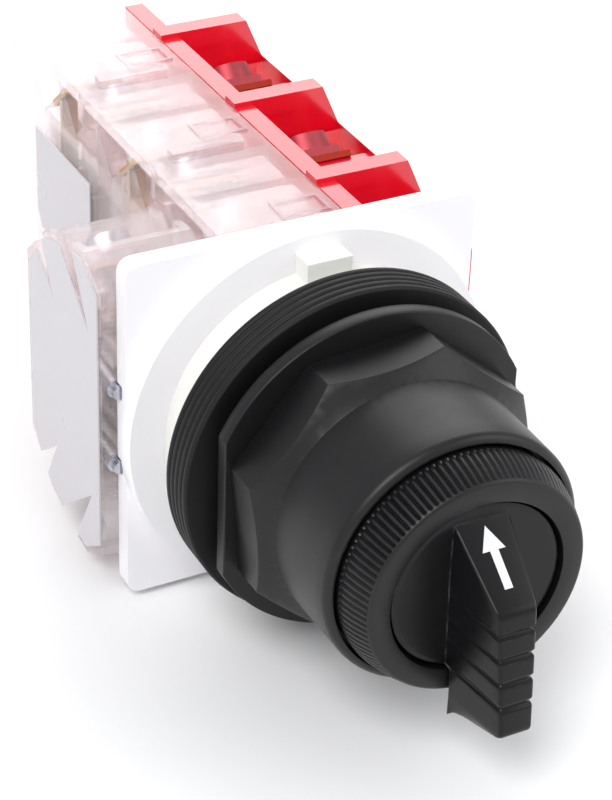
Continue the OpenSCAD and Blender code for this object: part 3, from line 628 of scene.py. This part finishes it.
class SWITCH_OT_lever(bpy.types.Operator):
    """Model the lever with its disc, grip grooves and arrow"""

    bl_idname = "switch.lever"
    bl_label = "Lever"

    # The disc's radius and front, and the corners of the lever's outline, as (z, y)
    disc_r = (LEVER_HIGH.x - LEVER_LOW.x) / 2
    disc_y = BEZEL_LOW.y + 0.5 * MM
    top = (8.4 * MM, disc_y)
    ridge = (2.0 * MM, disc_y - 8.2 * MM)
    tip = (-12.7 * MM, LEVER_LOW.y + 0.05 * MM)
    end = (LEVER_LOW.z + 0.05 * MM, BEZEL_LOW.y - 0.75 * MM)
    ridge_bend = 0.7 * MM
    tip_bend = 0.8 * MM

    # The grip grooves: the first one's place down the front from the ridge, their pitch and half width
    first_groove = 2.5 * MM
    groove_pitch = 2.9 * MM
    groove_half = 0.34 * MM

    def execute(self, context):
        sizes = context.scene.switch_sizes
        work = bmesh.new()
        self.handle(work, sizes)
        self.disc(work)
        lever = finish_mesh(mesh_from_bmesh(work, "lever"), "lever_with_disc", "lever_black")
        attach(lever, "knob")
        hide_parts("knob_lever")
        self.arrow(sizes)
        return {"FINISHED"}

    def outline(self, step):
        """Points (z, y) down the ramp, over the ridge, down the front and round the lower end."""
        corners = [self.top, self.ridge, self.tip, self.end]
        radii = [0, self.ridge_bend, self.tip_bend, 0]
        bend_steps = 8
        points = []
        for k, (corner, radius) in enumerate(zip(corners, radii)):
            here = Vector(corner)
            if radius == 0:
                points.append(here)
                continue
            back = (Vector(corners[k - 1]) - here).normalized()
            ahead = (Vector(corners[k + 1]) - here).normalized()
            for s in range(bend_steps + 1):
                share = s / bend_steps
                points.append(here + radius * ((1 - share) ** 2 * back + share ** 2 * ahead))
        walked = [points[0]]
        for first, second in zip(points, points[1:]):
            count = max(1, round((second - first).length / step))
            walked += [first.lerp(second, (s + 1) / count) for s in range(count)]
        return walked

    def handle(self, work, sizes):
        """The lever itself, lofted down its outline, with the grooves across its front."""
        slope = (Vector(self.tip) - Vector(self.ridge)).normalized()
        ring_step = 0.16 * MM
        rings = []
        for z, y in self.outline(ring_step):
            along = (Vector((z, y)) - Vector(self.ridge)).dot(slope)
            groove = 0.0
            if z < self.ridge[0] and z > self.tip[0] + 0.5 * MM:
                for k in range(sizes.groove_count):
                    apart = (along - self.first_groove - k * self.groove_pitch) / self.groove_half
                    groove = max(groove, math.exp(-apart ** 4))
            rings.append(self.section(sizes, z, y, groove * sizes.groove_depth))
        loft(work, rings)

    def section(self, sizes, z, y, groove):
        """A cross-section at height z: front face at y, edges rounded, walls leaning out to the disc."""
        share = min(1.0, max(0.0, (self.ridge[0] - z) / (self.ridge[0] - self.tip[0])))
        up = min(1.0, max(0.0, (z - self.ridge[0]) / (self.top[0] - self.ridge[0])))
        front = (sizes.lever_ridge + share * (sizes.lever_tip - sizes.lever_ridge)
                 + up * (sizes.lever_base - sizes.lever_ridge)) / 2
        wall = sizes.lever_base / 2 - 0.35 * MM * share
        inside = z > -self.disc_r + 0.6 * MM
        foot = self.disc_y + 0.4 * MM if inside else BEZEL_LOW.y - 0.5 * MM
        front_y = min(y + groove, foot - 0.05 * MM)
        radius = min(sizes.lever_round, (foot - front_y) / 2)
        front -= groove * 0.8
        half = [(wall, foot)]
        for part in (0.35, 0.65, 0.86):
            half.append((wall + (front - wall) * part, foot + (front_y + radius - foot) * part))
        arc_steps = 4
        for s in range(arc_steps + 1):
            turn = s / arc_steps * math.pi / 2
            across, back = radius * math.cos(turn), radius * math.sin(turn)
            half.append((front - radius + across, front_y + radius - back))
        left = [(-x, depth) for x, depth in reversed(half)]
        return [(x, depth, z) for x, depth in half + left]

    def disc(self, work):
        """The disc that the lever stands on, with a small chamfer and a pin hole in its middle."""
        r, y, back = self.disc_r, self.disc_y, LEVER_HIGH.y
        chamfer, hole = 0.25 * MM, 0.3 * MM
        profile = [(y, hole, 0), (y, r * 0.5, 0), (y, r - 3 * chamfer, 0), (y, r - chamfer, 0),
                   (y + 0.3 * chamfer, r - 0.3 * chamfer, 0), (y + chamfer, r, 0), (back, r, 0),
                   (back, hole, 0)]
        turned(work, profile, 128)

    def arrow(self, sizes):
        """The painted arrow, a thin film on the ramp that points up to the disc's edge."""
        low, high = Vector(self.ridge), Vector(self.top)
        along = (high - low).normalized()
        out = Vector((along.y, -along.x))
        if out.y > 0:
            out = -out
        start, head = 2.7 * MM, 2.7 * MM
        film_back, film_front = 0.02 * MM, 0.05 * MM
        width, length = sizes.arrow_width / 2, sizes.arrow_length
        shaft, shoulder = width * 0.36, length - head
        outline = [(-shaft, 0), (shaft, 0), (shaft, shoulder), (width, shoulder), (0, length),
                   (-width, shoulder), (-shaft, shoulder)]
        rings = []
        for lift in (film_back, film_front):
            places = [(x, low + along * (start + s) + out * lift) for x, s in outline]
            rings.append([(x, place.y, place.x) for x, place in places])
        work = bmesh.new()
        loft(work, rings)
        film = finish_mesh(mesh_from_bmesh(work, "arrow"), "lever_arrow", "arrow")
        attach(film, "knob")


class SWITCH_OT_bezel(bpy.types.Operator):
    """Model the bezel: a flat land, a rounded edge and fine ribs down its cone"""

    bl_idname = "switch.bezel"
    bl_label = "Bezel"

    def execute(self, context):
        sizes = context.scene.switch_sizes
        bore = SWITCH_OT_lever.disc_r + 0.3 * MM
        outer = (BEZEL_HIGH.x - BEZEL_LOW.x) / 2
        face, back = BEZEL_LOW.y, BEZEL_HIGH.y
        land = outer - 1.1 * MM
        spigot = outer - 2.5 * MM
        # Each is (y, radius, share of the knurl's depth), from the bore's back round the face to the spigot
        rows = [(back, bore, 0), (face + 0.2 * MM, bore, 0), (face + 0.05 * MM, bore + 0.06 * MM, 0),
                (face, bore + 0.2 * MM, 0), (face, (bore + land) / 2, 0), (face, land - 0.35 * MM, 0),
                (face + 0.08 * MM, land - 0.12 * MM, 0), (face + 0.3 * MM, land + 0.06 * MM, 0),
                (face + 0.5 * MM, land + 0.14 * MM, 1), (face + 2.2 * MM, land + 0.72 * MM, 1),
                (face + 3.7 * MM, outer - 0.05 * MM, 1), (NUT_FRONT - 0.35 * MM, outer, 1),
                (NUT_FRONT - 0.15 * MM, outer - 0.1 * MM, 0), (NUT_FRONT + 0.9 * MM, outer - 0.1 * MM, 0),
                (NUT_FRONT + 0.9 * MM, spigot, 0), (back, spigot, 0)]
        per_rib = 6

        def valley(k):
            """Depth of the knurl at a step: nothing on a rib's top, full between two ribs."""
            from_valley = abs((k % per_rib) / per_rib - 0.5) * 2
            return sizes.knurl_depth * (1 - min(1, 1.6 * from_valley) ** 1.5)

        work = bmesh.new()
        turned(work, rows, sizes.knurl_ribs * per_rib, valley)
        bezel = finish_mesh(mesh_from_bmesh(work, "bezel"), "knurled_bezel", "black_plastic")
        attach(bezel, "root")
        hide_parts("bezel_ring")
        return {"FINISHED"}


class SWITCH_OT_operator_body(bpy.types.Operator):
    """Finish the ring nut, washer, barrel, gaskets, spacer and base"""

    bl_idname = "switch.operator_body"
    bl_label = "Operator body"

    def execute(self, context):
        dress_node("ring_nut", "black_plastic", 0.15 * MM)
        dress_node("threaded_barrel", "black_plastic")
        dress_node("trim_washer", "black_plastic", 0.15 * MM)
        for n in range(5):
            dress_node(f"gasket_{n + 1}", "black_rubber", 0.08 * MM)
        dress_node("spacer_ring", "ivory_plastic", 0.1 * MM)
        dress_node("base_plate", "white_plastic", 0.12 * MM)
        dress_node("rear_cover", "white_plastic", 0.1 * MM)
        return {"FINISHED"}


class SWITCH_OT_inner_parts(bpy.types.Operator):
    """Finish the shaft, cam, detent and other inner pieces"""

    bl_idname = "switch.inner_parts"
    bl_label = "Inner parts"

    def execute(self, context):
        for node, finish in (("shaft", "zinc"), ("cam", "white_plastic"), ("cam_screw", "zinc"),
                             ("detent_wheel", "ivory_plastic"), ("detent_ball", "steel"),
                             ("detent_spring", "spring_steel"), ("shaft_seal", "black_rubber"),
                             ("rear_bush", "ivory_plastic"), ("cover_screws", "zinc")):
            dress_node(node, finish)
        return {"FINISHED"}


class SWITCH_OT_blocks(bpy.types.Operator):
    """Finish the contact blocks, their contacts, screws and labels"""

    bl_idname = "switch.blocks"
    bl_label = "Contact blocks"

    def execute(self, context):
        for node in HOUSINGS:
            dress_node(node, "red_plastic" if "right" in node else "clear_plastic", 0.12 * MM)
        for node in PLUNGERS:
            dress_node(node, "plunger_plastic")
        for side in ROWS:
            # In the red blocks the metals carry a painted red reflection of the pocket
            brass, steel = ("dull_brass_painted_red_reflection", "dull_steel_painted_red_reflection") if side == "right" else ("brass", "nickel_screw")
            dress_node(f"contact_bars_{side}", brass)
            dress_node(f"terminals_{side}", brass)
            dress_node(f"terminal_screws_{side}", steel)
            dress_node(f"return_springs_{side}", "spring_steel")
        dress_node("block_screws", "nickel_screw")
        dress_node("label_left", "label")
        dress_node("label_rear", "label")
        return {"FINISHED"}


class SWITCH_PT_panel(bpy.types.Panel):
    """Lists the sizes, colours and steps"""

    bl_idname = "SWITCH_PT_panel"
    bl_label = "Selector switch"
    bl_space_type = "VIEW_3D"
    bl_region_type = "UI"
    bl_category = "Switch"

    def draw(self, context):
        scene = context.scene
        for group in (scene.switch_sizes, scene.switch_colours, scene.switch_view):
            box = self.layout.box()
            for name in group.__annotations__:
                box.prop(group, name)
        for operator in OPERATORS:
            self.layout.operator(operator.bl_idname)


GROUP_CLASSES = (SwitchSizes, SwitchColours, ViewSettings)
OPERATORS = (SWITCH_OT_finishes, SWITCH_OT_camera, SWITCH_OT_stage, SWITCH_OT_lever, SWITCH_OT_bezel,
             SWITCH_OT_operator_body, SWITCH_OT_inner_parts, SWITCH_OT_blocks)


def register():
    for item in (*GROUP_CLASSES, *OPERATORS, SWITCH_PT_panel):
        bpy.utils.register_class(item)
    bpy.types.Scene.switch_sizes = PointerProperty(type=SwitchSizes)
    bpy.types.Scene.switch_colours = PointerProperty(type=SwitchColours)
    bpy.types.Scene.switch_view = PointerProperty(type=ViewSettings)


def unregister():
    del bpy.types.Scene.switch_view
    del bpy.types.Scene.switch_colours
    del bpy.types.Scene.switch_sizes
    for item in reversed((*GROUP_CLASSES, *OPERATORS, SWITCH_PT_panel)):
        bpy.utils.unregister_class(item)


def main():
    register()
    for operator in OPERATORS:
        group, name = operator.bl_idname.split(".")
        getattr(getattr(bpy.ops, group), name)()


if __name__ == "__main__":
    main()
